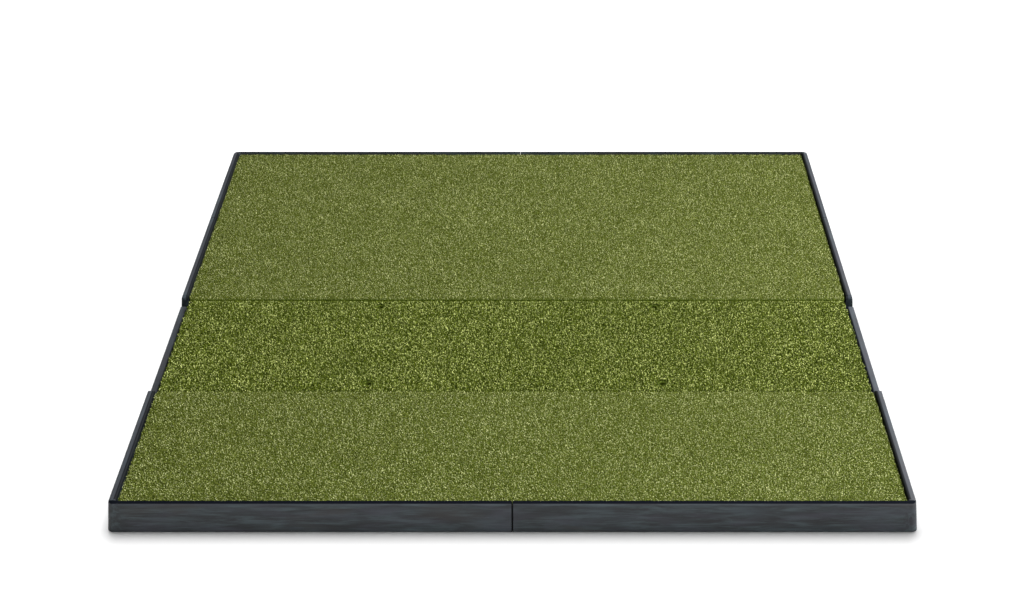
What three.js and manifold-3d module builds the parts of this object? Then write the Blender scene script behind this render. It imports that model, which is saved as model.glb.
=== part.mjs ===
// Golf hitting mat: eight rubber trays in two columns and four rows, linked by clips.
// Shock pads fill the trays. Three turf panels lie on the pads and lift straight out:
// the front strip, the strike strip with its four tee holes, and the stance panel.
// Millimetres, +Z up, +Y away from the front edge, origin at the centre of the underside.

import * as THREE from 'three';
import * as BufferGeometryUtils from 'three/addons/utils/BufferGeometryUtils.js';
import Module from 'manifold-3d';

const wasm = await Module();
wasm.setup();

// ---------------------------------------------------------------------------
// Driving dimensions
// ---------------------------------------------------------------------------

const MAT_WIDTH = 1219;             // four feet across, at the base
const FRONT_DEPTH = 311;            // depth of the front row of trays
const STRIKE_DEPTH = 297;           // depth of the low strike row
const STANCE_DEPTH = 305.5;         // depth of each of the two stance rows
const MAT_DEPTH = FRONT_DEPTH + STRIKE_DEPTH + 2 * STANCE_DEPTH;

const RIM_HEIGHT = 50.8;            // rim top of the front and stance trays, two inches
const STRIKE_RIM_HEIGHT = 31;       // rim top of the strike trays
const WALL_DRAFT = 0.11;            // outer walls lean in by this much per unit of height
const STRIKE_WALL_DRAFT = 0.05;     // the low strike walls stand more upright
const SIDE_RIM = 11;                // thickness of the side rims at their top
const END_RIM = 6;                  // and of the thinner front and back rims
const RIM_ROUND_OUT = 3;            // rounding of the rim's outer edge
const RIM_ROUND_IN = 2.5;           // rounding of its inner edge
const MAT_CORNER = 9;               // plan radius of the mat's four corners
const SEAM_CORNER = 1.2;            // plan radius where two trays meet
const SEAM_ROUND = 1;               // rounding of the rim where two trays meet
const SEAM_GAP = 0.6;               // between neighbouring trays
const WELL_CORNER = 4;              // plan radius inside a tray

const BASE_THICKNESS = 6;           // tray floor
const SEAM_WALL = 8;                // low walls between trays
const SEAM_WALL_TOP = 26.5;
const PAD_TOP = 30;                 // the turf panels lie on the pads at this height
const PAD_CLEARANCE = 5;            // round a pad, where the clips reach down
const TOUCH = 0.3;                  // between faces that touch

const PANEL_GAP = 2;                // between a turf panel and the rim beside it
const STRIKE_PANEL_GAP = 8;         // the strike panel stands further in from its low rim
const PANEL_SEAM = 2;               // between neighbouring turf panels
const PANEL_CORNER = 5;
const STRIKE_PANEL_CORNER = 10;     // the strike panel's corners are cut rounder
const TURF_THICKNESS = 8;           // backing and pile of the front and stance turf
const CARRIER_THICKNESS = 3;        // rubber sheet bonded under the strike turf
const FRONT_TURF_TOP = 47.5;
const STRIKE_TURF_TOP = 46;
const STANCE_TURF_TOP = 47.5;

const TEE_HOLE_RADIUS = 6;
const TEE_HOLE_X = 245;             // each side of the middle
const TEE_INSET_FRONT = 29;         // from the strike row's front edge
const TEE_INSET_BACK = 20;          // from its back edge
const TEE_BAR_WIDTH = 30;
const TEE_BAR_END_GAP = 1;

const CLIP_LENGTH = 60;
const CLIP_X = 130;                 // clips between rows stand this far each side of the middle
const CLIP_WALL = 2.8;
const CLIP_DROP = 13;               // how far a clip's legs reach below the wall top

const CORNER_STEPS = 4;
const SMALL_CORNER_STEPS = 2;
const ROUND_STEPS = 3;

// ---------------------------------------------------------------------------
// Places worked out from them
// ---------------------------------------------------------------------------

const HALF_WIDTH = MAT_WIDTH / 2;
const HALF_DEPTH = MAT_DEPTH / 2;
const STRIKE_FRONT = -HALF_DEPTH + FRONT_DEPTH;
const STRIKE_BACK = STRIKE_FRONT + STRIKE_DEPTH;
const STANCE_MIDDLE = STRIKE_BACK + STANCE_DEPTH;

const TALL_WALL = { top: RIM_HEIGHT, draft: WALL_DRAFT };
const LOW_WALL = { top: STRIKE_RIM_HEIGHT, draft: STRIKE_WALL_DRAFT };

const ROWS = [
  { name: 'front', front: -HALF_DEPTH, back: STRIKE_FRONT, wall: TALL_WALL, open: 'front' },
  { name: 'strike', front: STRIKE_FRONT, back: STRIKE_BACK, wall: LOW_WALL, open: null },
  { name: 'stance_near', front: STRIKE_BACK, back: STANCE_MIDDLE, wall: TALL_WALL, open: null },
  { name: 'stance_far', front: STANCE_MIDDLE, back: HALF_DEPTH, wall: TALL_WALL, open: 'back' },
];

// A wall's inner face is upright, and its place follows from the rim top's outer edge.
const sideInset = (wall) => wall.draft * wall.top + SIDE_RIM;
const endInset = (wall) => wall.draft * wall.top + END_RIM;

const PANEL_HALF_WIDTH = HALF_WIDTH - sideInset(TALL_WALL) - PANEL_GAP;
const PANEL_END = HALF_DEPTH - endInset(TALL_WALL) - PANEL_GAP;
const STRIKE_PANEL_HALF_WIDTH = HALF_WIDTH - sideInset(LOW_WALL) - STRIKE_PANEL_GAP;

const TEE_ROWS = [STRIKE_FRONT + TEE_INSET_FRONT, STRIKE_BACK - TEE_INSET_BACK];

// ---------------------------------------------------------------------------
// Materials
// ---------------------------------------------------------------------------

const finish = (color, roughness, metalness = 0) => () =>
  new THREE.MeshStandardMaterial({ color, roughness, metalness });

const trayRubber = finish(0x3d4246, 0.72);
const padFoam = finish(0x2f3234, 0.95);
const gelRubber = finish(0x4a4f55, 0.45);
const teeRubber = finish(0x1f2123, 0.6);
const clipNylon = finish(0x17181a, 0.5);
const underlayFoam = finish(0x26282a, 0.95);
const carrierRubber = finish(0x1c1e1f, 0.8);
const stanceTurf = finish(0x5f6d2c, 0.9);
const strikeTurf = finish(0x55682a, 0.9);

// ---------------------------------------------------------------------------
// Shapes
// ---------------------------------------------------------------------------

// A rectangle with a radius at each corner, anticlockwise from above. Radii and steps are
// given for the front left, front right, back right and back left corners.
function roundedRing(box, radii, steps) {
  const corners = [
    [box.left, box.front, 1, 1, Math.PI],
    [box.right, box.front, -1, 1, 1.5 * Math.PI],
    [box.right, box.back, -1, -1, 0],
    [box.left, box.back, 1, -1, 0.5 * Math.PI],
  ];
  const ring = [];
  corners.forEach(([x, y, inX, inY, start], corner) => {
    const radius = radii[corner];
    for (let step = 0; step <= steps[corner]; step += 1) {
      const angle = start + (0.5 * Math.PI * step) / steps[corner];
      ring.push([
        x + inX * radius + radius * Math.cos(angle),
        y + inY * radius + radius * Math.sin(angle),
      ]);
    }
  });
  return ring;
}

// A closed solid through convex rings of equal length, from the lowest up.
function loft(sections) {
  const count = sections[0].ring.length;
  const positions = sections.flatMap(({ ring, z }) => ring.flatMap(([x, y]) => [x, y, z]));
  const index = [];
  for (let level = 0; level + 1 < sections.length; level += 1) {
    for (let i = 0; i < count; i += 1) {
      const a = level * count + i;
      const b = level * count + ((i + 1) % count);
      index.push(a, b, b + count, a, b + count, a + count);
    }
  }
  const top = (sections.length - 1) * count;
  for (let i = 1; i + 1 < count; i += 1) {
    index.push(0, i + 1, i);
    index.push(top, top + i, top + i + 1);
  }
  const geometry = new THREE.BufferGeometry();
  geometry.setAttribute('position', new THREE.Float32BufferAttribute(positions, 3));
  geometry.setIndex(index);
  return geometry;
}

function box(left, right, front, back, bottom, top) {
  const geometry = new THREE.BoxGeometry(right - left, back - front, top - bottom);
  return geometry.translate((left + right) / 2, (front + back) / 2, (bottom + top) / 2);
}

function slab(outline, bottom, top, radius = PANEL_CORNER, steps = SMALL_CORNER_STEPS) {
  const ring = roundedRing(outline, Array(4).fill(radius), Array(4).fill(steps));
  return loft([{ ring, z: bottom }, { ring, z: top }]);
}

function upright(radius, x, y, bottom, top) {
  const geometry = new THREE.CylinderGeometry(radius, radius, top - bottom, 16);
  return geometry.rotateX(Math.PI / 2).translate(x, y, (bottom + top) / 2);
}

function toSolid(geometry) {
  const bare = geometry.clone();
  bare.deleteAttribute('normal');
  bare.deleteAttribute('uv');
  const merged = BufferGeometryUtils.mergeVertices(bare);
  return new wasm.Manifold(new wasm.Mesh({
    numProp: 3,
    vertProperties: Float32Array.from(merged.attributes.position.array),
    triVerts: Uint32Array.from(merged.index.array),
  }));
}

function toGeometry(solid) {
  const mesh = solid.getMesh();
  const geometry = new THREE.BufferGeometry();
  geometry.setAttribute('position', new THREE.Float32BufferAttribute(mesh.vertProperties, 3));
  geometry.setIndex(Array.from(mesh.triVerts));
  return geometry;
}

function cut(geometry, tools) {
  const solid = tools.reduce((rest, tool) => rest.subtract(toSolid(tool)), toSolid(geometry));
  return toGeometry(solid);
}

// ---------------------------------------------------------------------------
// Trays
// ---------------------------------------------------------------------------

// The tray's outline at the base, and which of its sides are outer walls.
function trayPlan(row, side) {
  const seam = SEAM_GAP / 2;
  const outer = {
    left: side < 0,
    right: side > 0,
    front: row.open === 'front',
    back: row.open === 'back',
  };
  return {
    outer,
    left: outer.left ? -HALF_WIDTH : seam,
    right: outer.right ? HALF_WIDTH : -seam,
    front: row.front + (outer.front ? 0 : seam),
    back: row.back - (outer.back ? 0 : seam),
  };
}

// The plan moved in by one distance at its side walls, by another at its front or back wall
// and by a third where it meets other trays.
function inset(plan, atSides, atEnds, atSeams) {
  return {
    left: plan.left + (plan.outer.left ? atSides : atSeams),
    right: plan.right - (plan.outer.right ? atSides : atSeams),
    front: plan.front + (plan.outer.front ? atEnds : atSeams),
    back: plan.back - (plan.outer.back ? atEnds : atSeams),
  };
}

function trayShell(plan, wall) {
  const isCorner = [
    plan.outer.left && plan.outer.front,
    plan.outer.right && plan.outer.front,
    plan.outer.right && plan.outer.back,
    plan.outer.left && plan.outer.back,
  ];
  const radii = isCorner.map((is) => (is ? MAT_CORNER : SEAM_CORNER));
  const steps = isCorner.map((is) => (is ? CORNER_STEPS : SMALL_CORNER_STEPS));
  const section = (z, inward, atSeams) => {
    const atWalls = wall.draft * z + inward;
    return { ring: roundedRing(inset(plan, atWalls, atWalls, atSeams), radii, steps), z };
  };
  const sections = [section(0, 0, 0)];
  for (let step = 0; step <= ROUND_STEPS; step += 1) {
    const angle = (0.5 * Math.PI * step) / ROUND_STEPS;
    const rise = RIM_ROUND_OUT * (1 - Math.sin(angle));
    const inward = 1 - Math.cos(angle);
    sections.push(section(wall.top - rise, RIM_ROUND_OUT * inward, SEAM_ROUND * inward));
  }
  return loft(sections);
}

// Everything above the low seam walls, inside the rim. It runs out past the seam sides.
function recess(plan, wall) {
  const radii = Array(4).fill(WELL_CORNER);
  const steps = Array(4).fill(SMALL_CORNER_STEPS);
  const past = -(WELL_CORNER + SEAM_GAP);
  const section = (z, flare) => {
    const outline = inset(plan, sideInset(wall) - flare, endInset(wall) - flare, past);
    return { ring: roundedRing(outline, radii, steps), z };
  };
  const sections = [section(SEAM_WALL_TOP, 0)];
  for (let step = 0; step <= ROUND_STEPS; step += 1) {
    const angle = (0.5 * Math.PI * step) / ROUND_STEPS;
    const rise = RIM_ROUND_IN * (1 - Math.sin(angle));
    sections.push(section(wall.top - rise, RIM_ROUND_IN * (1 - Math.cos(angle))));
  }
  sections.push(section(wall.top + 1, RIM_ROUND_IN));
  return loft(sections);
}

// The pocket in a tray's floor, between its outer walls and its low seam walls.
function wellOf(row, side) {
  return inset(trayPlan(row, side), sideInset(row.wall), endInset(row.wall), SEAM_WALL);
}

function tray(row, side) {
  const plan = trayPlan(row, side);
  const well = slab(wellOf(row, side), BASE_THICKNESS, SEAM_WALL_TOP + 1, WELL_CORNER);
  return cut(trayShell(plan, row.wall), [recess(plan, row.wall), well]);
}

// ---------------------------------------------------------------------------
// Pads and tee bars
// ---------------------------------------------------------------------------

function shockPad(row, side) {
  const well = wellOf(row, side);
  const outline = {
    left: well.left + PAD_CLEARANCE,
    right: well.right - PAD_CLEARANCE,
    front: well.front + PAD_CLEARANCE,
    back: well.back - PAD_CLEARANCE,
  };
  return slab(outline, BASE_THICKNESS + TOUCH, PAD_TOP);
}

// The tee bar parts each strike tray's well, so its gel pad is in two pieces.
function gelPad(row, side, part) {
  const well = wellOf(row, side);
  const bar = {
    left: side * TEE_HOLE_X - TEE_BAR_WIDTH / 2,
    right: side * TEE_HOLE_X + TEE_BAR_WIDTH / 2,
  };
  const isRightOfBar = (part === 'outer') === (side > 0);
  const outline = {
    left: isRightOfBar ? bar.right + TEE_BAR_END_GAP : well.left + PAD_CLEARANCE,
    right: isRightOfBar ? well.right - PAD_CLEARANCE : bar.left - TEE_BAR_END_GAP,
    front: well.front + PAD_CLEARANCE,
    back: well.back - PAD_CLEARANCE,
  };
  return slab(outline, BASE_THICKNESS + TOUCH, PAD_TOP);
}

function teeBar(row, side) {
  const well = wellOf(row, side);
  const x = side * TEE_HOLE_X;
  const bottom = BASE_THICKNESS + TOUCH;
  const bar = box(x - TEE_BAR_WIDTH / 2, x + TEE_BAR_WIDTH / 2,
    well.front + TEE_BAR_END_GAP, well.back - TEE_BAR_END_GAP, bottom, PAD_TOP);
  return cut(bar, TEE_ROWS.map((y) => upright(TEE_HOLE_RADIUS, x, y, bottom - 1, PAD_TOP + 1)));
}

// ---------------------------------------------------------------------------
// Clips that straddle the low walls of two neighbouring trays
// ---------------------------------------------------------------------------

function clip(x, y, alongX) {
  const inside = SEAM_WALL + SEAM_GAP / 2 + TOUCH;
  const outside = inside + CLIP_WALL;
  const top = SEAM_WALL_TOP + TOUCH;
  const foot = SEAM_WALL_TOP - CLIP_DROP;
  const profile = new THREE.Shape([
    [-outside, foot], [-inside, foot], [-inside, top], [inside, top],
    [inside, foot], [outside, foot], [outside, top + CLIP_WALL], [-outside, top + CLIP_WALL],
  ].map(([across, up]) => new THREE.Vector2(across, up)));
  const geometry = new THREE.ExtrudeGeometry(profile, { depth: CLIP_LENGTH, bevelEnabled: false });
  geometry.rotateX(Math.PI / 2).translate(0, CLIP_LENGTH / 2, 0);
  if (alongX) geometry.rotateZ(Math.PI / 2);
  return geometry.translate(x, y, 0);
}

// ---------------------------------------------------------------------------
// Turf panels
// ---------------------------------------------------------------------------

const FRONT_PANEL = {
  left: -PANEL_HALF_WIDTH,
  right: PANEL_HALF_WIDTH,
  front: -PANEL_END,
  back: STRIKE_FRONT - PANEL_SEAM / 2,
};
const STRIKE_PANEL = {
  left: -STRIKE_PANEL_HALF_WIDTH,
  right: STRIKE_PANEL_HALF_WIDTH,
  front: STRIKE_FRONT + PANEL_SEAM / 2,
  back: STRIKE_BACK - PANEL_SEAM / 2,
};
const STANCE_PANEL = {
  left: -PANEL_HALF_WIDTH,
  right: PANEL_HALF_WIDTH,
  front: STRIKE_BACK + PANEL_SEAM / 2,
  back: PANEL_END,
};

const PANEL_BOTTOM = PAD_TOP + TOUCH;
const CARRIER_TOP = PANEL_BOTTOM + CARRIER_THICKNESS;

const turf = (plan, top) => slab(plan, top - TURF_THICKNESS, top);
const underlay = (plan, turfTop) => slab(plan, PANEL_BOTTOM, turfTop - TURF_THICKNESS - TOUCH);

function strikeLayer(bottom, top) {
  const holes = TEE_ROWS.flatMap((y) => [-TEE_HOLE_X, TEE_HOLE_X].map((x) => [x, y]));
  const tools = holes.map(([x, y]) => upright(TEE_HOLE_RADIUS, x, y, bottom - 1, top + 1));
  return cut(slab(STRIKE_PANEL, bottom, top, STRIKE_PANEL_CORNER), tools);
}

// ---------------------------------------------------------------------------
// The mat
// ---------------------------------------------------------------------------

const mat = new THREE.Group();

function add(name, geometry, material) {
  const mesh = new THREE.Mesh(geometry, material());
  mesh.name = name;
  mat.add(mesh);
}

const SIDES = [['left', -1], ['right', 1]];

for (const row of ROWS) {
  for (const [hand, side] of SIDES) {
    add(`tray_${row.name}_${hand}`, tray(row, side), trayRubber);
    if (row.name !== 'strike') add(`shock_pad_${row.name}_${hand}`, shockPad(row, side), padFoam);
  }
}

const strikeRow = ROWS.find((row) => row.name === 'strike');
for (const [hand, side] of SIDES) {
  add(`gel_pad_outer_${hand}`, gelPad(strikeRow, side, 'outer'), gelRubber);
  add(`gel_pad_inner_${hand}`, gelPad(strikeRow, side, 'inner'), gelRubber);
  add(`tee_bar_${hand}`, teeBar(strikeRow, side), teeRubber);
}

// One clip where the left and right trays of a row meet, and one where each tray meets the
// tray behind it.
for (const row of ROWS) {
  add(`link_clip_${row.name}_middle`, clip(0, (row.front + row.back) / 2, false), clipNylon);
  if (row.open === 'back') continue;
  for (const [hand, side] of SIDES) {
    add(`link_clip_behind_${row.name}_${hand}`, clip(side * CLIP_X, row.back, true), clipNylon);
  }
}

add('front_underlay', underlay(FRONT_PANEL, FRONT_TURF_TOP), underlayFoam);
add('front_turf', turf(FRONT_PANEL, FRONT_TURF_TOP), stanceTurf);
add('stance_underlay', underlay(STANCE_PANEL, STANCE_TURF_TOP), underlayFoam);
add('stance_turf', turf(STANCE_PANEL, STANCE_TURF_TOP), stanceTurf);
add('strike_carrier', strikeLayer(PANEL_BOTTOM, CARRIER_TOP), carrierRubber);
add('strike_turf', strikeLayer(CARRIER_TOP + TOUCH, STRIKE_TURF_TOP), strikeTurf);

export default mat;
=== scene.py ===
"""Golf hitting mat: eight linked rubber trays, the pads in them, and three turf panels.

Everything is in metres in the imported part's frame: +Z up, +Y away from the front edge. Places come
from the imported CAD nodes, and the sizes below only say how the pieces are finished.
"""

import math

import bpy
import numpy as np
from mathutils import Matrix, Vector


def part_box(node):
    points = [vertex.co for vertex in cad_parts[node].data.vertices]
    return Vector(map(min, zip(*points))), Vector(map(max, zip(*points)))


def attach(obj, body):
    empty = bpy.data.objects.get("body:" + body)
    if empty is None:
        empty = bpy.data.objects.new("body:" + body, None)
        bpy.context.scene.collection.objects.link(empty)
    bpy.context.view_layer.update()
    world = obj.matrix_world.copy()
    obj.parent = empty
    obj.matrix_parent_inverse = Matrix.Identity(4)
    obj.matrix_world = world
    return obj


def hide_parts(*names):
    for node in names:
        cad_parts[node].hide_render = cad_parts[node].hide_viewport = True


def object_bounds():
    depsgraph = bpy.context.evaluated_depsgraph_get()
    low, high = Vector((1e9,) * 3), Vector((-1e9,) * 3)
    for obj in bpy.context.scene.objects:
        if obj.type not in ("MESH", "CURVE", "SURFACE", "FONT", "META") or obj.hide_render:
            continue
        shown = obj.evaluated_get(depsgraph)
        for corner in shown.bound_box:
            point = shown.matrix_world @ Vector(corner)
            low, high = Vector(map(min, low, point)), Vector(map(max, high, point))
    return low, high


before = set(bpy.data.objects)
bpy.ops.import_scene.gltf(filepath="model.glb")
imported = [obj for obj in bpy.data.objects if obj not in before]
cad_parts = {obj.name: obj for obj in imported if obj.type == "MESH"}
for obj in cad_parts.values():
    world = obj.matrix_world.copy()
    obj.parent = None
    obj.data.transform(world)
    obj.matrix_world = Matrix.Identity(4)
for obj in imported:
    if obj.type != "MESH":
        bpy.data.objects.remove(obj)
cad_low, cad_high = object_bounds()
MM = 0.001

# ---------------------------------------------------------------------------
# Sizes of the finish, in metres
# ---------------------------------------------------------------------------

WALL_DRAFT = 0.11                   # outer walls lean in by this much per unit of height
STRIKE_WALL_DRAFT = 0.05            # the low strike walls stand more upright
SIDE_RIM = 11 * MM                  # thickness of the side rims at their top
SIDE_ROUND_OUT = 3 * MM             # rounding of their outer edges
SIDE_ROUND_IN = 2.5 * MM            # and of their inner edges
END_RIM = 6 * MM                    # the thinner front and back rims
END_ROUND_OUT = 5 * MM
END_ROUND_IN = 0.8 * MM
BASE_ROUND = 1 * MM
MAT_CORNER = 9 * MM                 # plan radius of the mat's own corners
SEAM_CORNER = 0.3 * MM              # plan radius where trays meet
SEAM_ROUND = 0.4 * MM
STEP_ROUND = 7.5 * MM               # a tall rim's end, where it steps down to the strike row
WELL_CORNER = 4 * MM
WELL_EDGE = 1 * MM
TRAY_FLOOR = 6 * MM
SEAM_WALL = 8 * MM
SEAM_WALL_TOP = 26.5 * MM
CUT_SLACK = 5 * MM                  # how far a cutter runs past what it cuts

PAD_CORNER = 5 * MM                 # plan radius of the pads and underlays
FOAM_PAD_EDGE = 1.5 * MM
UNDERLAY_EDGE = 1 * MM
GEL_EDGE = 2 * MM
GEL_CELL = 16 * MM                  # the cells moulded on a gel pad, before they are fitted
GEL_CELL_RISE = 1.6 * MM
GEL_CELL_GAP = 1.5 * MM
GEL_CELL_CORNER = 3 * MM
GEL_MARGIN = 4 * MM                 # plain border round the cells
CLIP_EDGE = 0.6 * MM

TEE_RADIUS = 6 * MM
TEE_WORN = 8 * MM                   # the pile is worn open this far round each tee hole
TEE_FLARE = 1.2 * MM                # the bores in the tee bars widen by this much at the top
TEE_INSET_FRONT = 29 * MM           # tee holes from the strike row's front edge
TEE_INSET_BACK = 20 * MM            # and from its back edge
TEE_BAR_CORNER = 1.5 * MM
TEE_BAR_EDGE = 1 * MM

PANEL_CORNER = 5 * MM               # plan radius of the turf panels
STRIKE_PANEL_CORNER = 10 * MM
PANEL_INSET = 1 * MM                # a turf panel stands this far inside its row at each seam
LAYER_EDGE = 0.5 * MM               # rounding of the thatch and the carrier sheet
STANCE_REACH = 3.3 * MM             # how far the tips stand above the dense thatch below them
STRIKE_REACH = 5.2 * MM
BEND_AT = 0.78                      # share of its height at which a fibre curls over
END_FLUFF = 0.5 * MM                # how far a tip may stand past a panel's front or back edge
WORN_END = 4 * MM                   # the pile is shorter this near to a front or back edge
ROOT_DEPTH = 0.5 * MM               # how deep a fibre's root sits in the thatch
ROOT_JITTER = 0.45                  # how far a root strays from its place, in spacings
SHORTEST = 0.5                      # the shortest fibre, as a share of the mean height
LEAST_LEAN = 0.12                   # square of a fibre's least lean, where its most is 1
STEM_LEAN = 0.4                     # share of its lean that a fibre has at its bend
BEND_TURN = 0.7                     # how far it turns there, and how far its blade twists,
BLADE_TWIST = 0.4                   # in radians
BLADE_WIDTHS = (0.75, 1.25)         # from the narrowest to the widest, in mean widths
TIP_HEIGHTS = (0.78, 1)             # how high the tips stand, as shares of the fibre's height

CORNER_STEPS = 10
ROUND_STEPS = 7
HOLE_STEPS = 40
CELL_CORNER_STEPS = 3
CELL_ROUND_STEPS = 4

CAMERA_PLACE = (0.042, -2.592, 1.585)
CAMERA_DOWN = 30.72                 # degrees below level
CAMERA_LENS = 58.8                  # mm, on a 36 mm sensor
CAMERA_SHIFT = -0.0277
FLOOR_REACH = 30


# ---------------------------------------------------------------------------
# Mesh helpers
# ---------------------------------------------------------------------------

def object_from(name, points, faces, material):
    mesh = bpy.data.meshes.new(name)
    mesh.from_pydata([tuple(p) for p in points], [], faces)
    mesh.update()
    mesh.materials.append(material)
    made = bpy.data.objects.new(name, mesh)
    bpy.context.scene.collection.objects.link(made)
    return made


def rounded_ring(outline, radii, steps=CORNER_STEPS):
    """A rectangle (left, right, front, back) with a radius at each corner, anticlockwise."""
    left, right, front, back = outline
    corners = [
        (left, front, 1, 1, math.pi),
        (right, front, -1, 1, 1.5 * math.pi),
        (right, back, -1, -1, 0),
        (left, back, 1, -1, 0.5 * math.pi),
    ]
    ring = []
    for (x, y, in_x, in_y, start), radius in zip(corners, radii):
        for step in range(steps + 1):
            angle = start + 0.5 * math.pi * step / steps
            ring.append((
                x + in_x * radius + radius * math.cos(angle),
                y + in_y * radius + radius * math.sin(angle),
            ))
    return ring


def loft(name, sections, material):
    """A closed solid through rings of equal length, from the lowest up."""
    count = len(sections[0][0])
    points = [(x, y, z) for ring, z in sections for x, y in ring]
    faces = [tuple(reversed(range(count)))]
    for level in range(len(sections) - 1):
        for i in range(count):
            a, b = level * count + i, level * count + (i + 1) % count
            faces.append((a, b, b + count, a + count))
    top = (len(sections) - 1) * count
    faces.append(tuple(range(top, top + count)))
    return object_from(name, points, faces, material)


def quarter(radius, steps=ROUND_STEPS):
    """(inward, below the top) of each point of a quarter round, from its foot to the top."""
    angles = [0.5 * math.pi * step / steps for step in range(steps + 1)]
    return [(radius * (1 - math.cos(a)), radius * (1 - math.sin(a))) for a in angles]


def grown(outline, by):
    left, right, front, back = outline
    return (left - by, right + by, front - by, back + by)


def slab(name, outline, bottom, top, corner, edge, material):
    """A flat block with rounded upright corners and softly rounded edges."""
    rounding = quarter(edge)
    sections = []
    for inward, up in reversed(rounding):
        ring = rounded_ring(grown(outline, -inward), [max(corner - inward, 0.1 * MM)] * 4)
        sections.append((ring, bottom + up))
    for inward, down in rounding:
        ring = rounded_ring(grown(outline, -inward), [max(corner - inward, 0.1 * MM)] * 4)
        sections.append((ring, top - down))
    sections.sort(key=lambda section: section[1])
    return loft(name, sections, material)


def round_bar(name, x, y, levels, material):
    """An upright turned solid through (radius, height) pairs, used to bore holes."""
    turns = [2 * math.pi * i / HOLE_STEPS for i in range(HOLE_STEPS)]
    sections = [([(x + r * math.cos(t), y + r * math.sin(t)) for t in turns], z) for r, z in levels]
    return loft(name, sections, material)


def cut_away(target, cutters):
    for cutter in cutters:
        change = target.modifiers.new("cut", "BOOLEAN")
        change.operation = "DIFFERENCE"
        change.solver = "EXACT"
        change.object = cutter
    apply_modifiers(target)
    for cutter in cutters:
        bpy.data.objects.remove(cutter)
    return target


def apply_modifiers(target):
    graph = bpy.context.evaluated_depsgraph_get()
    graph.update()
    finished = bpy.data.meshes.new_from_object(target.evaluated_get(graph))
    target.modifiers.clear()
    target.data = finished


def smooth(target, angle=35):
    """Smooth shading that keeps flat faces flat and breaks at edges sharper than angle."""
    target.data.shade_smooth()
    target.data.set_sharp_from_angle(angle=math.radians(angle))
    even = target.modifiers.new("even", "WEIGHTED_NORMAL")
    even.keep_sharp = True
    apply_modifiers(target)
    return target


def place(piece, body, slot, *nodes):
    """Every piece rides a body and hides the CAD nodes that it is drawn in place of; slot is not used."""
    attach(piece, body)
    if nodes:
        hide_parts(*nodes)
    return piece


def outline_of(node):
    low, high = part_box(node)
    return (low.x, high.x, low.y, high.y), low.z, high.z


# ---------------------------------------------------------------------------
# Material helpers
# ---------------------------------------------------------------------------

def colour(red, green, blue):
    """sRGB from 0 to 255, as linear RGBA."""
    def linear(value):
        share = value / 255
        return share / 12.92 if share <= 0.04045 else ((share + 0.055) / 1.055) ** 2.4
    return (linear(red), linear(green), linear(blue), 1.0)


def set_range(node, low, high, to_low, to_high):
    """Fills in a Map Range node."""
    for key, number in zip(("From Min", "From Max", "To Min", "To Max"), (low, high, to_low, to_high)):
        node.inputs[key].default_value = number


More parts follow.
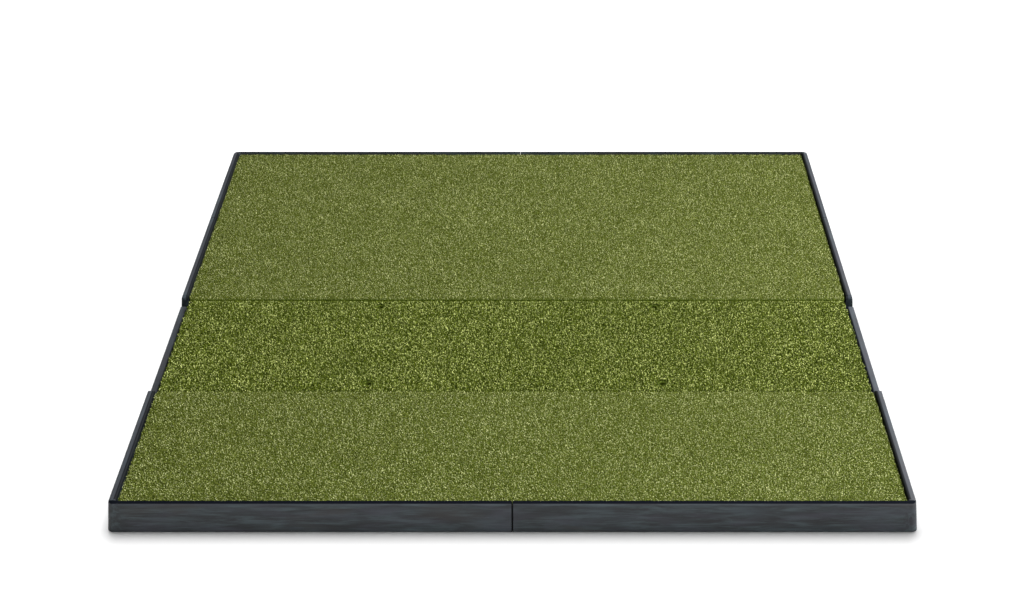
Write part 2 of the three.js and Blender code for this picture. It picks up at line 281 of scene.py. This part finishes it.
class Nodes:
    """Short names for the shader nodes that the materials are built from."""

    def __init__(self, name):
        self.material = bpy.data.materials.new(name)
        self.material.use_nodes = True
        self.tree = self.material.node_tree
        self.shader = self.tree.nodes["Principled BSDF"]

    def add(self, kind, **settings):
        node = self.tree.nodes.new(kind)
        for key, value in settings.items():
            setattr(node, key, value)
        return node

    def link(self, output, target):
        self.tree.links.new(output, target)

    def feed(self, source, socket):
        """Links another node's output, or sets a plain value."""
        if isinstance(source, bpy.types.NodeSocket):
            self.link(source, socket)
        else:
            socket.default_value = source

    def position(self, scale=(1, 1, 1)):
        coordinates = self.add("ShaderNodeTexCoord")
        mapping = self.add("ShaderNodeMapping")
        mapping.inputs["Scale"].default_value = scale
        self.link(coordinates.outputs["Object"], mapping.inputs["Vector"])
        return mapping.outputs["Vector"]

    def parts(self, vector):
        split = self.add("ShaderNodeSeparateXYZ")
        self.link(vector, split.inputs[0])
        return split.outputs

    def noise(self, scale, detail=3.0, roughness=0.5, stretch=(1, 1, 1), distortion=0.0):
        texture = self.add("ShaderNodeTexNoise")
        texture.inputs["Scale"].default_value = scale
        texture.inputs["Detail"].default_value = detail
        texture.inputs["Roughness"].default_value = roughness
        texture.inputs["Distortion"].default_value = distortion
        self.link(self.position(stretch), texture.inputs["Vector"])
        return texture.outputs["Fac"]

    def ramp(self, value, *stops):
        node = self.add("ShaderNodeValToRGB")
        elements = node.color_ramp.elements
        elements[0].position, elements[0].color = stops[0]
        elements[1].position, elements[1].color = stops[-1]
        for at, shade in stops[1:-1]:
            elements.new(at).color = shade
        self.link(value, node.inputs["Fac"])
        return node.outputs["Color"]

    def span(self, value, low, high, to_low=0.0, to_high=1.0):
        node = self.add("ShaderNodeMapRange")
        set_range(node, low, high, to_low, to_high)
        self.link(value, node.inputs["Value"])
        return node.outputs["Result"]

    def mix(self, factor, first, second, blend="MIX"):
        node = self.add("ShaderNodeMix", data_type="RGBA", blend_type=blend)
        enabled = {socket.name: socket for socket in node.inputs if socket.enabled}
        for key, source in (("Factor", factor), ("A", first), ("B", second)):
            self.feed(source, enabled[key])
        return next(s for s in node.outputs if s.enabled)

    def math(self, operation, first, second=0.0):
        node = self.add("ShaderNodeMath", operation=operation)
        self.feed(first, node.inputs[0])
        self.feed(second, node.inputs[1])
        return node.outputs["Value"]

    def largest(self, first, *others):
        for other in others:
            first = self.math("MAXIMUM", first, other)
        return first

    def attribute(self, name):
        return self.add("ShaderNodeAttribute", attribute_name=name).outputs["Fac"]

    def bump(self, height, strength, distance, after=None):
        node = self.add("ShaderNodeBump")
        node.inputs["Strength"].default_value = strength
        node.inputs["Distance"].default_value = distance
        self.link(height, node.inputs["Height"])
        if after is not None:
            self.link(after, node.inputs["Normal"])
        return node.outputs["Normal"]

    def finish(self, base, roughness, normal=None, specular=0.5):
        self.link(base, self.shader.inputs["Base Color"])
        self.feed(roughness, self.shader.inputs["Roughness"])
        if normal is not None:
            self.link(normal, self.shader.inputs["Normal"])
        self.feed(specular, self.shader.inputs["Specular IOR Level"])
        return self.material


# ---------------------------------------------------------------------------
# Materials
# ---------------------------------------------------------------------------

def near_edge(n, place, edge, none, full):
    """0 where a place is further than none inside the mat's edge, rising to 1 at full."""
    return n.span(n.math("ABSOLUTE", place), edge - none, edge - full)


def inside_edge(n, place, edge, full, none, most=1.0):
    """The reverse: most where a place is further than full inside the edge, falling to 0."""
    return n.span(n.math("ABSOLUTE", place), edge - full, edge - none, most, 0)


def near_line(n, place, line, full, none, most=1.0):
    """Most within full of a line across the mat, falling to 0 at none."""
    distance = n.math("ABSOLUTE", n.math("SUBTRACT", place, line))
    return n.span(distance, full, none, most, 0)


def painted_seam_shade(n, across, along):
    """Painted shade beside the seams: the middle of the mat, and the side rims' rear seam."""
    far_row, _, _ = outline_of("tray_stance_far_left")
    beside_middle = n.span(n.math("ABSOLUTE", across), 1.0 * MM, 1.7 * MM, 0.95, 0)
    return n.largest(beside_middle, near_line(n, along, far_row[2], 0.6 * MM, 1.6 * MM, 0.5))


def inner_edge(n, across, along, up):
    """The tall side rims' inner upper edges, darkened with painted shade."""
    inside = inside_edge(n, across, cad_high.x, 13.5 * MM, 12 * MM, 0.85)
    between_ends = inside_edge(n, along, cad_high.y, 15.5 * MM, 13.5 * MM)
    on_tall_rims = n.span(up, 43 * MM, 45 * MM)
    return n.math("MULTIPLY", n.math("MULTIPLY", inside, between_ends), on_tall_rims)


def step_end(n, at_sides, along):
    """The rounded ends of the tall side rims that face the strike row from behind."""
    near_row, _, _ = outline_of("tray_stance_near_left")
    at_end = near_line(n, along, near_row[2] + 4 * MM, 3.5 * MM, 5.5 * MM)
    return n.math("MULTIPLY", at_end, at_sides)


def tray_rubber():
    """Compression-moulded rubber: cloudy bloom in streaks along the walls, fine grain, dust.
    Faces that look up are painted lighter, as top light. Painted shade makes it dark on top of
    the thin front and back rims, beside the seams and at the inner edges of the tall side rims;
    it is dull there too."""
    n = Nodes("tray_rubber")
    cloud = n.noise(7, 4, 0.6, (1, 1.6, 4), 0.6)
    across, along, up = n.parts(n.position())
    _, _, facing_up = n.parts(n.add("ShaderNodeNewGeometry").outputs["Normal"])
    at_sides = near_edge(n, across, cad_high.x, 24.5 * MM, 17.5 * MM)
    along_ends = n.noise(16, 5, 0.65, (0.9, 8, 10), 0.3)
    along_sides = n.noise(16, 5, 0.65, (8, 0.9, 8), 0.3)
    streak = n.mix(at_sides, along_ends, along_sides)
    warm = n.noise(7, 3, 0.5, (1, 1, 3), 0.4)
    tint = n.noise(11, 3, 0.5, (1, 1, 4), 0.5)
    base = n.ramp(cloud, (0.34, colour(12, 16, 19)), (0.52, colour(20, 27, 31)), (0.7, colour(34, 45, 51)))
    base = n.mix(n.span(streak, 0.46, 0.66, 0, 0.75), base, colour(54, 66, 70))
    base = n.mix(n.span(tint, 0.5, 0.66, 0, 0.5), base, colour(42, 42, 52))
    base = n.mix(n.span(warm, 0.54, 0.66, 0, 0.6), base, colour(32, 29, 27))
    # painted top light: faces that look up are lighter, which also paints a highlight on the rims' outer
    # roundings
    base = n.mix(n.span(facing_up, 0.2, 0.6, 0, 0.3), base, colour(74, 75, 82))
    # painted shade mask for the tops of the thin front and back rims
    at_ends = near_edge(n, along, cad_high.y, 13 * MM, 12 * MM)
    end_top_shade = n.math("MULTIPLY", n.span(facing_up, 0.5, 0.7), at_ends)
    seam_gap_shade = painted_seam_shade(n, across, along)
    shade = inner_edge(n, across, along, up)
    # painted shade: the tops of the thin front and back rims are made near black
    base = n.mix(end_top_shade, base, colour(9, 12, 18))
    # painted shade along the seams between trays
    base = n.mix(seam_gap_shade, base, colour(6, 7, 9))
    # painted shade at the tall side rims' inner upper edges
    base = n.mix(shade, base, colour(9, 11, 13))
    speck = n.noise(900, 2, 0.5)
    base = n.mix(n.span(speck, 0.7, 0.76, 0, 0.3), base, colour(84, 86, 86))
    roughness = n.largest(n.span(cloud, 0.3, 0.7, 0.68, 0.56), n.span(end_top_shade, 0, 1, 0.3, 0.9))
    normal = n.bump(n.noise(1400, 2, 0.5), 0.25, 0.25 * MM)
    normal = n.bump(n.noise(28, 2, 0.5, (1, 1, 2)), 0.25, 0.8 * MM, normal)
    dull = n.largest(end_top_shade, step_end(n, at_sides, along), seam_gap_shade, shade)
    return n.finish(base, roughness, normal, n.span(dull, 0, 1, 0.5, 0.04))


def turf_yarn(name, dark, mid, pale, root_shade):
    """One tufted yarn. Each fibre carries a random "shade", and "rise" is 0 at its root."""
    n = Nodes(name)
    base = n.ramp(n.attribute("shade"), (0.0, dark), (0.55, mid), (1.0, pale))
    patches = n.noise(9, 4, 0.6, (1, 1.5, 1))
    base = n.mix(n.span(patches, 0.35, 0.65, 0, 0.14), base, dark)
    # painted shade: each fibre darkens from its tip down to its root
    rise = n.span(n.attribute("rise"), 0.45, 0.95, root_shade, 1.0)
    base = n.mix(1.0, base, n.ramp(rise, (0.0, (0, 0, 0, 1)), (1.0, (1, 1, 1, 1))), "MULTIPLY")
    return n.finish(base, 0.6, specular=0.12)


def plain_pattern(name, low, high, scale, roughness, grain, depth, specular=0.4):
    """A matt moulded or foamed surface: two tones in fine patches, with grain."""
    n = Nodes(name)
    tone = n.noise(scale, 4, 0.6)
    base = n.ramp(tone, (0.35, low), (0.65, high))
    rough = n.span(tone, 0.3, 0.7, roughness + 0.06, roughness - 0.06)
    normal = n.bump(n.noise(grain, 3, 0.6), 0.4, depth)
    return n.finish(base, rough, normal, specular)


def backing_weave():
    """Dark green thatch where the yarn comes through the coated backing."""
    n = Nodes("turf_thatch")
    tuft = n.noise(650, 3, 0.6)
    base = n.ramp(tuft, (0.35, colour(34, 44, 4)), (0.5, colour(64, 78, 16)), (0.65, colour(104, 116, 44)))
    return n.finish(base, 0.85, n.bump(tuft, 0.8, 1.2 * MM), 0.1)


RUBBER = tray_rubber()
FOAM = plain_pattern("shock_foam", colour(40, 42, 44), colour(58, 60, 62),
                     scale=60, roughness=0.9, grain=1500, depth=0.4 * MM, specular=0.2)
GEL = plain_pattern("strike_gel", colour(60, 68, 78), colour(82, 92, 104),
                    scale=22, roughness=0.32, grain=700, depth=0.08 * MM, specular=0.5)
TEE_RUBBER = plain_pattern("tee_rubber", colour(26, 27, 29), colour(38, 40, 42),
                           scale=70, roughness=0.6, grain=1600, depth=0.15 * MM)
NYLON = plain_pattern("clip_nylon", colour(20, 21, 23), colour(32, 33, 35),
                      scale=50, roughness=0.45, grain=1800, depth=0.1 * MM)
UNDERLAY = plain_pattern("underlay_foam", colour(30, 32, 33), colour(48, 50, 51),
                         scale=90, roughness=0.92, grain=1300, depth=0.4 * MM, specular=0.2)
CARRIER = plain_pattern("carrier_rubber", colour(22, 23, 24), colour(40, 41, 42),
                        scale=200, roughness=0.8, grain=900, depth=0.3 * MM, specular=0.3)
THATCH = backing_weave()

STANCE_YARN = turf_yarn(
    "stance_yarn", colour(72, 82, 16), colour(121, 131, 57), colour(204, 210, 148), 0.48)
STANCE_CURL = turf_yarn(
    "stance_curl_yarn", colour(58, 68, 10), colour(95, 104, 34), colour(144, 148, 84), 0.4)
STRIKE_YARN = turf_yarn(
    "strike_yarn", colour(56, 70, 6), colour(108, 122, 34), colour(204, 214, 130), 0.36)
STRIKE_CURL = turf_yarn(
    "strike_curl_yarn", colour(42, 54, 3), colour(72, 86, 14), colour(114, 124, 44), 0.32)


# ---------------------------------------------------------------------------
# Trays
# ---------------------------------------------------------------------------

def outer_walls(outline):
    """Which of a tray's sides (left, right, front, back) are walls of the mat itself."""
    mat = (cad_low.x, cad_high.x, cad_low.y, cad_high.y)
    return [abs(a - b) < 1 * MM for a, b in zip(outline, mat)]


def dip(radius, below):
    """How far a rounded edge lies inside its face, at a distance below the top."""
    rest = max(radius - below, 0)
    return radius - math.sqrt(radius ** 2 - rest ** 2)


def round_levels(*radii):
    """Distances below the top that follow every one of the roundings, from the lowest up."""
    return sorted({down for radius in radii for _, down in quarter(radius)}, reverse=True)


def inset(outline, walls, at_sides, at_ends, at_seams):
    """The outline moved in at its side walls, at its end wall and where it meets other trays."""
    by = [at if wall else at_seams for wall, at in zip(walls, (at_sides, at_sides, at_ends, at_ends))]
    left, right, front, back = outline
    return (left + by[0], right - by[1], front + by[2], back - by[3])


def well_outline(outline, walls, rim, draft, below, at_seams):
    """The inner faces of a tray, opened out by their roundings near the rim's top."""
    at_sides = draft * rim + SIDE_RIM - dip(SIDE_ROUND_IN, below)
    at_ends = draft * rim + END_RIM - dip(END_ROUND_IN, below)
    return inset(outline, walls, at_sides, at_ends, at_seams)


def tray_shell(name, outline, walls, rim, draft):
    left, right, front, back = walls
    is_corner = [left and front, right and front, right and back, left and back]
    radii = [MAT_CORNER if corner else SEAM_CORNER for corner in is_corner]

    def section(z, at_sides, at_ends, at_seams):
        lean = draft * z
        return rounded_ring(inset(outline, walls, lean + at_sides, lean + at_ends, at_seams), radii), z

    sections = []
    for inward, up in reversed(quarter(BASE_ROUND)):
        sections.append(section(up, inward, inward, inward * SEAM_ROUND / BASE_ROUND))
    for down in round_levels(SIDE_ROUND_OUT, END_ROUND_OUT):
        at_sides, at_ends = dip(SIDE_ROUND_OUT, down), dip(END_ROUND_OUT, down)
        sections.append(section(rim - down, at_sides, at_ends, dip(SEAM_ROUND, down)))
    return loft(name, sections, RUBBER)


def recess(outline, walls, rim, draft):
    """Everything above the low seam walls, inside the rim. It runs out past the seam sides."""
    past = -(WELL_CORNER + CUT_SLACK)

    def section(below, z):
        return rounded_ring(well_outline(outline, walls, rim, draft, below, past), [WELL_CORNER] * 4), z

    sections = [section(rim, SEAM_WALL_TOP)]
    sections += [section(down, rim - down) for down in round_levels(SIDE_ROUND_IN, END_ROUND_IN)]
    sections.append(section(0, rim + CUT_SLACK))
    return loft("recess", sections, RUBBER)


def step_cutter(outline, rim, seam, into):
    """Rounds off the end of a tall rim at the seam; into is +1 or -1, into the tray."""
    profile = [(seam - into * CUT_SLACK, rim - STEP_ROUND), (seam, rim - STEP_ROUND)]
    profile += [(seam + into * inward, rim - down) for inward, down in quarter(STEP_ROUND)]
    profile += [(seam + into * STEP_ROUND, rim + CUT_SLACK), (seam - into * CUT_SLACK, rim + CUT_SLACK)]
    left, right = outline[0] - CUT_SLACK, outline[1] + CUT_SLACK
    count = len(profile)
    points = [(x, y, z) for x in (left, right) for y, z in profile]
    sides = [(i, (i + 1) % count, (i + 1) % count + count, i + count) for i in range(count)]
    faces = [tuple(reversed(range(count))), tuple(range(count, 2 * count))] + sides
    cutter = object_from("step", points, faces, RUBBER)
    if into < 0:
        cutter.data.flip_normals()
    return cutter


def tray(node):
    outline, _, rim = outline_of(node)
    walls = outer_walls(outline)
    draft = STRIKE_WALL_DRAFT if node.startswith("tray_strike") else WALL_DRAFT
    made = tray_shell("rubber_" + node, outline, walls, rim, draft)
    pocket = well_outline(outline, walls, rim, draft, rim, SEAM_WALL)
    well = slab("well", pocket, TRAY_FLOOR, rim + CUT_SLACK, WELL_CORNER, WELL_EDGE, RUBBER)
    cutters = [recess(outline, walls, rim, draft), well]
    if node.startswith("tray_front"):
        cutters.append(step_cutter(outline, rim, outline[3], -1))
    if node.startswith("tray_stance_near"):
        cutters.append(step_cutter(outline, rim, outline[2], 1))
    smooth(cut_away(made, cutters))
    return place(made, "tray_base", "tray_rubber", node)


# ---------------------------------------------------------------------------
# Pads, tee bars and clips
# ---------------------------------------------------------------------------

def foam_pad(node):
    outline, bottom, top = outline_of(node)
    made = smooth(slab("foam_" + node, outline, bottom, top, PAD_CORNER, FOAM_PAD_EDGE, FOAM))
    place(made, "tray_base", "shock_foam", node)


def gel_pad(node):
    """A soft slab with rows of shallow moulded cells on top."""
    outline, bottom, top = outline_of(node)
    slab_top = top - GEL_CELL_RISE
    made = smooth(slab(node.replace("pad", "slab"), outline, bottom, slab_top, PAD_CORNER, GEL_EDGE, GEL))
    place(made, "tray_base", "strike_gel", node)
    points, faces = [], []
    left, right, front, back = grown(outline, -GEL_MARGIN)
    across, along = int((right - left) / GEL_CELL), int((back - front) / GEL_CELL)
    width, depth = (right - left) / across, (back - front) / along
    for i in range(across):
        for j in range(along):
            x, y = left + i * width, front + j * depth
            cell = grown((x, x + width, y, y + depth), -GEL_CELL_GAP / 2)
            add_cell(points, faces, cell, top)
    cells = smooth(object_from(node.replace("pad", "cells"), points, faces, GEL), angle=60)
    place(cells, "tray_base", "strike_gel", node)


def add_cell(points, faces, outline, top):
    """One closed cell with a domed edge, added to a gel pad's points and faces."""
    rings = []
    for inward, down in quarter(GEL_CELL_RISE, CELL_ROUND_STEPS):
        ring = rounded_ring(grown(outline, -2 * inward), [GEL_CELL_CORNER] * 4, CELL_CORNER_STEPS)
        rings.append([(x, y, top - down) for x, y in ring])
    foot = [(x, y, top - GEL_CELL_RISE - GEL_EDGE / 4) for x, y, _ in rings[0]]
    rings = [foot] + rings
    count, start = len(foot), len(points)
    for ring in rings:
        points.extend(ring)
    for level in range(len(rings) - 1):
        for i in range(count):
            a = start + level * count + i
            b = start + level * count + (i + 1) % count
            faces.append((a, b, b + count, a + count))
    last = start + (len(rings) - 1) * count
    faces.append(tuple(range(last, last + count)))
    faces.append(tuple(reversed(range(start, start + count))))


def tee_places():
    """The four tee holes: on the tee bars' middles, in a front and a back line."""
    row, _, _ = outline_of("strike_turf")
    front_line = row[2] - PANEL_INSET + TEE_INSET_FRONT
    back_line = row[3] + PANEL_INSET - TEE_INSET_BACK
    places = []
    for hand in ("left", "right"):
        bar, _, _ = outline_of("tee_bar_" + hand)
        x = (bar[0] + bar[1]) / 2
        places += [(x, front_line), (x, back_line)]
    return places


TEES = tee_places()


def tee_bar(node):
    outline, bottom, top = outline_of(node)
    made = slab("bored_" + node, outline, bottom, top, TEE_BAR_CORNER, TEE_BAR_EDGE, TEE_RUBBER)
    bores = []
    for x, y in TEES:
        if outline[0] < x < outline[1]:
            levels = [
                (TEE_RADIUS, bottom - CUT_SLACK),
                (TEE_RADIUS, top - TEE_FLARE),
                (TEE_RADIUS + TEE_FLARE, top),
                (TEE_RADIUS + TEE_FLARE, top + CUT_SLACK),
            ]
            bores.append(round_bar("bore", x, y, levels, TEE_RUBBER))
    smooth(cut_away(made, bores))
    place(made, "tray_base", "tee_rubber", node)


def clip(node):
    """The CAD clip keeps its shape; its edges are softened as a moulding's are."""
    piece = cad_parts[node]
    piece.data.materials.clear()
    piece.data.materials.append(NYLON)
    soften = piece.modifiers.new("soften", "BEVEL")
    soften.width = CLIP_EDGE
    soften.segments = 3
    soften.angle_limit = math.radians(50)


# ---------------------------------------------------------------------------
# Turf panels
# ---------------------------------------------------------------------------

def bore(x, y, bottom, top, material):
    levels = [(TEE_RADIUS, bottom - CUT_SLACK), (TEE_RADIUS, top + CUT_SLACK)]
    return round_bar("bore", x, y, levels, material)


def layer(name, outline, bottom, top, corner, material, holes=()):
    made = slab(name, outline, bottom, top, corner, LAYER_EDGE, material)
    if holes:
        cut_away(made, [bore(x, y, bottom, top, material) for x, y in holes])
    return smooth(made)


def pile_mesh(name, material, root, one, other, tip, shade):
    """One closed four-cornered blade per fibre: its root, the two sides of its bend and its tip.
    All arguments but the first two are arrays with a row per fibre."""
    count = len(root)
    points = np.stack([root, one, other, tip], 1)
    arms = points[:, 1:] - points[:, :1]
    inside_out = np.linalg.det(arms) < 0
    points[inside_out] = points[inside_out][:, [0, 2, 1, 3]]
    pattern = np.array([[0, 2, 1], [0, 1, 3], [0, 3, 2], [1, 2, 3]])
    corners = (np.arange(count)[:, None, None] * 4 + pattern[None]).reshape(-1)
    mesh = bpy.data.meshes.new(name)
    mesh.vertices.add(count * 4)
    mesh.vertices.foreach_set("co", points.astype(np.float32).reshape(-1))
    mesh.loops.add(len(corners))
    mesh.loops.foreach_set("vertex_index", corners.astype(np.int32))
    mesh.polygons.add(count * 4)
    mesh.polygons.foreach_set("loop_start", np.arange(0, len(corners), 3, dtype=np.int32))
    mesh.update(calc_edges=True)
    mesh.shade_flat()
    shades = mesh.attributes.new("shade", "FLOAT", "POINT")
    shades.data.foreach_set("value", np.repeat(shade, 4).astype(np.float32))
    rises = mesh.attributes.new("rise", "FLOAT", "POINT")
    rises.data.foreach_set("value", np.tile([0.0, BEND_AT, BEND_AT, 1.0], count).astype(np.float32))
    mesh.materials.append(material)
    made = bpy.data.objects.new(name, mesh)
    bpy.context.scene.collection.objects.link(made)
    return made


class Pile:
    """How one yarn is tufted."""

    def __init__(self, spacing, height, spread, lean, width, shade, fluff=0.6 * MM, worn=0.7):
        self.spacing = spacing          # between fibres
        self.height = height            # mean height above the thatch
        self.spread = spread            # how unevenly long the fibres are
        self.lean = lean                # how far a tip stands from above its root
        self.width = width
        self.shade = shade
        self.fluff = fluff              # how far a tip may stand past the panel's sides
        self.worn = worn                # share of the height left at a front or back edge


def on_panel(flat, outline, corner):
    """Which points lie on a panel with rounded corners."""
    left, right, front, back = outline
    past_x = np.abs(flat[:, 0] - (left + right) / 2) - (right - left) / 2 + corner
    past_y = np.abs(flat[:, 1] - (front + back) / 2) - (back - front) / 2 + corner
    return np.hypot(np.maximum(past_x, 0), np.maximum(past_y, 0)) < corner


def from_ends(flat, outline):
    """How far each point is from the panel's front or back edge."""
    return np.minimum(flat[:, 1] - outline[2], outline[3] - flat[:, 1])


def clear_of(holes, flat):
    """Points over a tee hole are moved out to its edge, as the pile there is worn open."""
    for hole in np.array(holes).reshape(-1, 2):
        out = flat - hole
        far = np.maximum(np.hypot(out[:, 0], out[:, 1]), 0.1 * MM)
        flat = hole + out * np.maximum(1, TEE_WORN / far)[:, None]
    return flat


def tuft(name, pile, outline, panel, thatch_top, crown, material, seed, holes=()):
    """The pile on one band of a panel; panel is the whole outline and its corner radius."""
    random = np.random.default_rng(seed)
    left, right, front, back = outline
    across = int(round((right - left) / pile.spacing))
    along = int(round((back - front) / pile.spacing))
    columns, rows = np.meshgrid(np.arange(across), np.arange(along))
    grid = np.stack([columns.ravel(), rows.ravel()], 1) + 0.5
    grid += random.uniform(-ROOT_JITTER, ROOT_JITTER, grid.shape)
    flat = np.array([left, front]) + grid * np.array([(right - left) / across, (back - front) / along])
    flat = flat[on_panel(flat, *panel)]
    for x, y in holes:
        flat = flat[np.hypot(flat[:, 0] - x, flat[:, 1] - y) > TEE_WORN]
    count = len(flat)
    tall = random.normal(pile.height, pile.spread, count)
    tall = np.clip(tall, SHORTEST * pile.height, crown - thatch_top)
    tall *= np.interp(from_ends(flat, panel[0]), [0, WORN_END], [pile.worn, 1])
    heading = random.uniform(0, 2 * math.pi, count)
    lean = pile.lean * np.sqrt(random.uniform(LEAST_LEAN, 1, count))
    bend = heading + random.normal(0, BEND_TURN, count)
    half = np.stack([np.cos(heading), np.sin(heading)], 1) * lean[:, None] * STEM_LEAN
    whole = half + np.stack([np.cos(bend), np.sin(bend)], 1) * lean[:, None] * (1 - STEM_LEAN)
    fluff = np.array([pile.fluff, END_FLUFF])
    low, high = np.array([left, front]) - fluff, np.array([right, back]) + fluff
    width = pile.width * random.uniform(*BLADE_WIDTHS, count) / 2
    across_bend = bend + math.pi / 2 + random.normal(0, BLADE_TWIST, count)
    side = np.stack([np.cos(across_bend), np.sin(across_bend)], 1) * width[:, None]
    middle = clear_of(holes, np.clip(flat + half, low + width[:, None], high - width[:, None]))
    end = clear_of(holes, np.clip(flat + whole, low, high))
    root = np.column_stack([flat, np.full(count, thatch_top - ROOT_DEPTH)])
    bend_height = thatch_top + BEND_AT * tall
    one = np.column_stack([middle + side, bend_height])
    other = np.column_stack([middle - side, bend_height])
    tip = np.column_stack([end, thatch_top + tall * random.uniform(*TIP_HEIGHTS, count)])
    shade = np.clip(random.normal(*pile.shade, count), 0, 1)
    return pile_mesh(name, material, root, one, other, tip, shade)


def turf_panel(part, slot, yarns, reach, corner, holes=(), bands=1):
    """A thatch with its pile. Each yarn is in one piece per band of the panel's depth."""
    node, body = part + "_turf", part + "_panel"
    outline, bottom, crown = outline_of(node)
    thatch_top = crown - reach
    thatch = layer(node + "_thatch", outline, bottom, thatch_top, corner, THATCH, holes)
    place(thatch, body, slot, node)
    left, right, front, back = outline
    for number, (label, pile, material) in enumerate(yarns):
        for band in range(bands):
            strip = (left, right, front + (back - front) * band / bands,
                     front + (back - front) * (band + 1) / bands)
            seed = 1000 * number + 10 * band + len(part)
            made = tuft(f"{node}_{label}_{band + 1}", pile, strip, (outline, corner), thatch_top, crown,
                        material, seed, holes)
            place(made, body, slot, node)


# ---------------------------------------------------------------------------
# Camera, floor and light
# ---------------------------------------------------------------------------

def camera():
    data = bpy.data.cameras.new("camera")
    data.lens = CAMERA_LENS
    data.sensor_width = 36
    data.shift_x = CAMERA_SHIFT
    made = bpy.data.objects.new("camera", data)
    made.location = CAMERA_PLACE
    made.rotation_euler = (math.radians(90 - CAMERA_DOWN), 0, 0)
    bpy.context.scene.collection.objects.link(made)
    bpy.context.scene.camera = made


def floor():
    n = Nodes("floor_white")
    n.shader.inputs["Base Color"].default_value = (0.9, 0.9, 0.9, 1)
    n.shader.inputs["Roughness"].default_value = 0.9
    n.shader.inputs["Specular IOR Level"].default_value = 0.1
    corners = [(x * FLOOR_REACH, y * FLOOR_REACH, 0) for x, y in ((-1, -1), (1, -1), (1, 1), (-1, 1))]
    ground = object_from("floor", corners, [(0, 1, 2, 3)], n.material)
    return ground


def surroundings():
    """A pale studio: bright low down, most of all in front and on the right, dark overhead."""
    world = bpy.data.worlds.new("studio")
    bpy.context.scene.world = world
    world.use_nodes = True
    tree = world.node_tree
    way = tree.nodes.new("ShaderNodeTexCoord")
    axes = tree.nodes.new("ShaderNodeSeparateXYZ")
    tree.links.new(way.outputs["Generated"], axes.inputs[0])

    def fade(axis, low, high, to_low, to_high):
        node = tree.nodes.new("ShaderNodeMapRange")
        node.interpolation_type = "SMOOTHSTEP"
        set_range(node, low, high, to_low, to_high)
        tree.links.new(axes.outputs[axis], node.inputs["Value"])
        return node.outputs["Result"]

    def product(first, second):
        node = tree.nodes.new("ShaderNodeMath")
        node.operation = "MULTIPLY"
        tree.links.new(first, node.inputs[0])
        tree.links.new(second, node.inputs[1])
        return node.outputs["Value"]

    level = fade("Z", 0.14, 0.45, 1.0, 0.08)
    along, across = fade("Y", -0.7, 0.7, 1.75, 1.1), fade("X", -0.8, 0.8, 0.4, 1.4)
    background = tree.nodes["Background"]
    tree.links.new(product(product(level, along), across), background.inputs["Strength"])
    background.inputs["Color"].default_value = (1, 1, 1, 1)
    bpy.context.scene.view_settings.view_transform = "Standard"


def softbox(name, place_at, size, watts):
    """A square area light that faces the mat's middle."""
    data = bpy.data.lights.new(name, "AREA")
    data.shape = "SQUARE"
    data.size = size
    data.energy = watts
    made = bpy.data.objects.new(name, data)
    made.location = place_at
    made.rotation_euler = (-Vector(place_at)).to_track_quat("-Z", "Y").to_euler()
    bpy.context.scene.collection.objects.link(made)
    return made


def lights(ground):
    """The key from the right lights the mat alone, and a light over the back lights the floor
    alone, so that the floor stays white but for the soft shadow along the front."""
    key = softbox("key", place_at=(2.2, -0.4, 3.4), size=2.1, watts=430)
    wash = softbox("floor_wash", place_at=(0, 1.9, 5), size=4, watts=480)
    for lamp, state in ((key, "EXCLUDE"), (wash, "INCLUDE")):
        group = bpy.data.collections.new(lamp.name + "_floor")
        group.objects.link(ground)
        group.collection_objects[0].light_linking.link_state = state
        lamp.light_linking.receiver_collection = group


# ---------------------------------------------------------------------------
# The mat
# ---------------------------------------------------------------------------

camera()
surroundings()
lights(floor())

for node in sorted(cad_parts):
    if node.startswith("tray_"):
        tray(node)
    elif node.startswith("shock_pad"):
        foam_pad(node)
    elif node.startswith("gel_pad"):
        gel_pad(node)
    elif node.startswith("tee_bar"):
        tee_bar(node)
    elif node.startswith("link_clip"):
        clip(node)

for part in ("front", "stance"):
    node = part + "_underlay"
    outline, bottom, top = outline_of(node)
    under = smooth(slab("foam_" + node, outline, bottom, top, PAD_CORNER, UNDERLAY_EDGE, UNDERLAY))
    place(under, part + "_panel", "underlay_foam", node)

outline, bottom, top = outline_of("strike_carrier")
sole = layer("rubber_strike_carrier", outline, bottom, top, STRIKE_PANEL_CORNER, CARRIER, TEES)
place(sole, "strike_panel", "carrier_rubber", "strike_carrier")

STANCE_YARN_PILE = Pile(
    spacing=2.1 * MM, height=2.9 * MM, spread=0.3 * MM, lean=2.6 * MM, width=1.5 * MM,
    shade=(0.55, 0.28))
STANCE_CURL_PILE = Pile(
    spacing=3.0 * MM, height=2.3 * MM, spread=0.3 * MM, lean=2.6 * MM, width=1.8 * MM,
    shade=(0.4, 0.22))
STRIKE_YARN_PILE = Pile(
    spacing=2.1 * MM, height=4.6 * MM, spread=0.5 * MM, lean=3.2 * MM, width=1.6 * MM,
    shade=(0.55, 0.31), fluff=3.5 * MM, worn=0.45)
STRIKE_CURL_PILE = Pile(
    spacing=3.0 * MM, height=3.6 * MM, spread=0.5 * MM, lean=3.2 * MM, width=2.0 * MM,
    shade=(0.35, 0.2), fluff=3.5 * MM, worn=0.45)
STANCE_YARNS = [("yarn", STANCE_YARN_PILE, STANCE_YARN), ("curl", STANCE_CURL_PILE, STANCE_CURL)]
STRIKE_YARNS = [("yarn", STRIKE_YARN_PILE, STRIKE_YARN), ("curl", STRIKE_CURL_PILE, STRIKE_CURL)]

turf_panel("front", "stance_turf", STANCE_YARNS, STANCE_REACH, PANEL_CORNER, bands=2)
turf_panel("strike", "strike_turf", STRIKE_YARNS, STRIKE_REACH, STRIKE_PANEL_CORNER,
           TEES, bands=2)
turf_panel("stance", "stance_turf", STANCE_YARNS, STANCE_REACH, PANEL_CORNER, bands=4)
